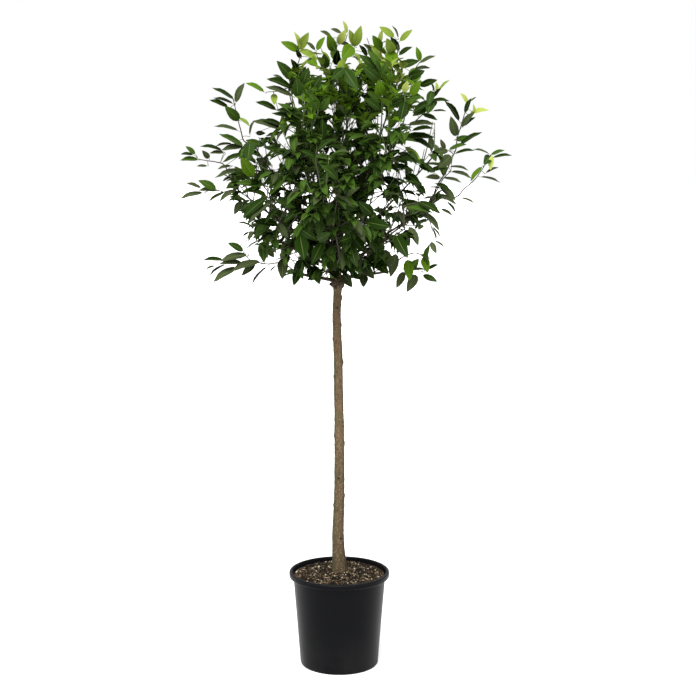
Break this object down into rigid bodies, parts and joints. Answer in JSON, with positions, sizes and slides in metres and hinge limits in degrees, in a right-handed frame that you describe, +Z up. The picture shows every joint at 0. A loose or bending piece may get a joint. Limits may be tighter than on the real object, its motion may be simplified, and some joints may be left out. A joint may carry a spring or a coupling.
{
  "type": "potted standard ornamental cherry tree",
  "caption": "Evergreen ornamental cherry trained as a standard: clear slim trunk, round open head of pointed leaves, in a tapered plastic nursery pot filled with potting mix.",
  "frame": {"origin": "middle of the pot's flat underside, on the surface that it stands on", "axes": "+Z up along the trunk, -Y towards the side the tree is seen from, +X to that viewer's right"},
  "size_m": [0.9622, 0.8531, 1.9613],
  "materials": {
    "pot": "matt charcoal-black moulded nursery plastic, a little dusty near the foot",
    "potting_mix": "coarse damp bark and peat mix with pale flecks",
    "bark": "thin grey-brown bark, slightly rough, with small pale lenticels",
    "foliage": "living leaves, mid green with a soft sheen above and grey-green below"
  },
  "bodies": {
    "root": {"pot": "pot", "potting_mix": "potting_mix", "trunk": "bark", "bough_low_left": "bark", "bough_low_right": "bark", "bough_low_back": "bark", "bough_low_front": "bark", "bough_right_back": "bark", "bough_left_front": "bark", "bough_right_front": "bark", "bough_left_back": "bark", "bough_right": "bark", "bough_front": "bark", "bough_left": "bark", "bough_back": "bark", "bough_upper_right": "bark", "bough_upper_left": "bark", "bough_upper_front_right": "bark", "bough_upper_front_left": "bark", "bough_upper_back": "bark", "bough_top_left": "bark", "bough_top_right": "bark", "bough_leader": "bark", "foliage_low_left": "foliage", "foliage_low_right": "foliage", "foliage_low_back": "foliage", "foliage_low_front": "foliage", "foliage_right_back": "foliage", "foliage_left_front": "foliage", "foliage_right_front": "foliage", "foliage_left_back": "foliage", "foliage_right": "foliage", "foliage_front": "foliage", "foliage_left": "foliage", "foliage_back": "foliage", "foliage_upper_right": "foliage", "foliage_upper_left": "foliage", "foliage_upper_front_right": "foliage", "foliage_upper_front_left": "foliage", "foliage_upper_back": "foliage", "foliage_top_left": "foliage", "foliage_top_right": "foliage", "foliage_leader": "foliage"}
  },
  "joints": []
}
